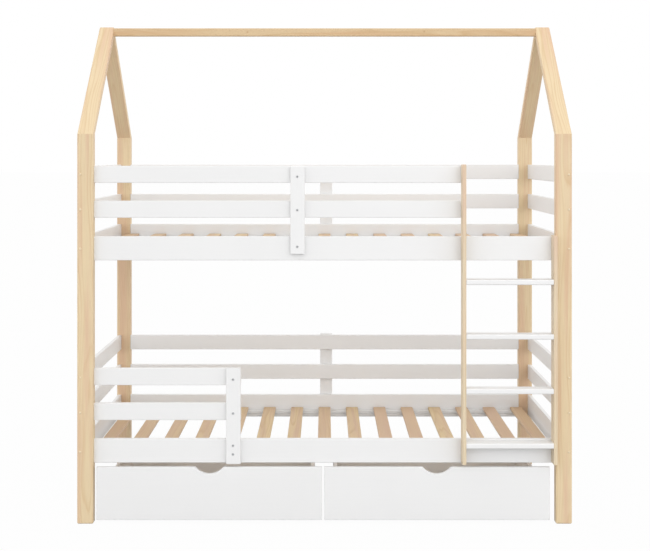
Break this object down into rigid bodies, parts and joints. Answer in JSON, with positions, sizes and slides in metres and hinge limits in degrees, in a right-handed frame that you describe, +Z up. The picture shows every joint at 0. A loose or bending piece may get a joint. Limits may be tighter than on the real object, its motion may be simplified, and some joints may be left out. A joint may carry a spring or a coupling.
{
  "type": "house-shaped bunk bed with drawers",
  "caption": "House-shaped bunk bed of pine and white wood with a ladder, guard rails, slatted bases and roll-out drawers.",
  "frame": {"origin": "on the floor, in the middle of the bed's outline seen from above, with the ladder included", "axes": "+Z up, +X along the bed towards the ladder's end, +Y from the ladder side to the back"},
  "size_m": [2.06, 1.035, 2.121],
  "materials": {
    "pine": "clear matt lacquer",
    "white_wood": "white satin paint",
    "slat_wood": "planed, untreated",
    "drawer_board": "pale matt",
    "dowel_wood": "plain beech",
    "zinc_steel": "zinc plated",
    "castor_plastic": "matt"
  },
  "bodies": {
    "bed_frame": {"front_left_post": "pine", "front_left_rafter": "pine", "front_right_post": "pine", "front_right_rafter": "pine", "back_left_post": "pine", "back_left_rafter": "pine", "back_right_post": "pine", "back_right_rafter": "pine", "ridge_beam": "pine", "lower_front_side_rail": "white_wood", "lower_back_side_rail": "white_wood", "lower_guard_mid_rail": "white_wood", "lower_guard_top_rail": "white_wood", "lower_back_guard_rails": "white_wood", "lower_guard_batten": "white_wood", "lower_back_batten": "white_wood", "lower_left_end_rail": "white_wood", "lower_left_end_guard_rails": "white_wood", "lower_right_end_rail": "white_wood", "lower_right_end_guard_rails": "white_wood", "lower_slats": "slat_wood", "lower_cleats": "white_wood", "upper_front_side_rail": "white_wood", "upper_back_side_rail": "white_wood", "upper_guard_mid_rail": "white_wood", "upper_guard_top_rail": "white_wood", "upper_back_guard_rails": "white_wood", "upper_guard_batten": "white_wood", "upper_back_batten": "white_wood", "upper_left_end_rail": "white_wood", "upper_left_end_guard_rails": "white_wood", "upper_right_end_rail": "white_wood", "upper_right_end_guard_rails": "white_wood", "upper_slats": "slat_wood", "upper_cleats": "white_wood", "ladder_left_stile": "pine", "ladder_right_stile": "pine", "ladder_rungs": "white_wood", "side_rail_bolts": "zinc_steel", "barrel_nuts": "zinc_steel", "guard_rail_dowels": "dowel_wood", "end_rail_dowels": "dowel_wood"},
    "left_drawer": {"left_drawer_front": "white_wood", "left_drawer_bottom": "drawer_board", "left_drawer_sides": "drawer_board", "left_drawer_back": "drawer_board", "left_drawer_castor_brackets": "zinc_steel"},
    "left_wheel_1": {"left_drawer_wheel_1": "castor_plastic"},
    "left_wheel_2": {"left_drawer_wheel_2": "castor_plastic"},
    "left_wheel_3": {"left_drawer_wheel_3": "castor_plastic"},
    "left_wheel_4": {"left_drawer_wheel_4": "castor_plastic"},
    "right_drawer": {"right_drawer_front": "white_wood", "right_drawer_bottom": "drawer_board", "right_drawer_sides": "drawer_board", "right_drawer_back": "drawer_board", "right_drawer_castor_brackets": "zinc_steel"},
    "right_wheel_1": {"right_drawer_wheel_1": "castor_plastic"},
    "right_wheel_2": {"right_drawer_wheel_2": "castor_plastic"},
    "right_wheel_3": {"right_drawer_wheel_3": "castor_plastic"},
    "right_wheel_4": {"right_drawer_wheel_4": "castor_plastic"}
  },
  "joints": [
    {"name": "left_drawer_slide", "type": "slide", "parent": "bed_frame", "child": "left_drawer", "axis": [0, -1, 0], "range_m": [0, 0.6]},
    {"name": "left_wheel_1_spin", "type": "hinge", "parent": "left_drawer", "child": "left_wheel_1", "pos_m": [-0.838, -0.4075, 0.018], "axis": [1, 0, 0], "continuous": true},
    {"name": "left_wheel_2_spin", "type": "hinge", "parent": "left_drawer", "child": "left_wheel_2", "pos_m": [-0.115, -0.4075, 0.018], "axis": [1, 0, 0], "continuous": true},
    {"name": "left_wheel_3_spin", "type": "hinge", "parent": "left_drawer", "child": "left_wheel_3", "pos_m": [-0.838, 0.0725, 0.018], "axis": [1, 0, 0], "continuous": true},
    {"name": "left_wheel_4_spin", "type": "hinge", "parent": "left_drawer", "child": "left_wheel_4", "pos_m": [-0.115, 0.0725, 0.018], "axis": [1, 0, 0], "continuous": true},
    {"name": "right_drawer_slide", "type": "slide", "parent": "bed_frame", "child": "right_drawer", "axis": [0, -1, 0], "range_m": [0, 0.6]},
    {"name": "right_wheel_1_spin", "type": "hinge", "parent": "right_drawer", "child": "right_wheel_1", "pos_m": [0.11, -0.4075, 0.018], "axis": [1, 0, 0], "continuous": true},
    {"name": "right_wheel_2_spin", "type": "hinge", "parent": "right_drawer", "child": "right_wheel_2", "pos_m": [0.833, -0.4075, 0.018], "axis": [1, 0, 0], "continuous": true},
    {"name": "right_wheel_3_spin", "type": "hinge", "parent": "right_drawer", "child": "right_wheel_3", "pos_m": [0.11, 0.0725, 0.018], "axis": [1, 0, 0], "continuous": true},
    {"name": "right_wheel_4_spin", "type": "hinge", "parent": "right_drawer", "child": "right_wheel_4", "pos_m": [0.833, 0.0725, 0.018], "axis": [1, 0, 0], "continuous": true}
  ],
  "couplings": [
    {"joint": "left_wheel_1_spin", "follows": "left_drawer_slide", "rad_per_m": 55.556},
    {"joint": "left_wheel_2_spin", "follows": "left_drawer_slide", "rad_per_m": 55.556},
    {"joint": "left_wheel_3_spin", "follows": "left_drawer_slide", "rad_per_m": 55.556},
    {"joint": "left_wheel_4_spin", "follows": "left_drawer_slide", "rad_per_m": 55.556},
    {"joint": "right_wheel_1_spin", "follows": "right_drawer_slide", "rad_per_m": 55.556},
    {"joint": "right_wheel_2_spin", "follows": "right_drawer_slide", "rad_per_m": 55.556},
    {"joint": "right_wheel_3_spin", "follows": "right_drawer_slide", "rad_per_m": 55.556},
    {"joint": "right_wheel_4_spin", "follows": "right_drawer_slide", "rad_per_m": 55.556}
  ]
}
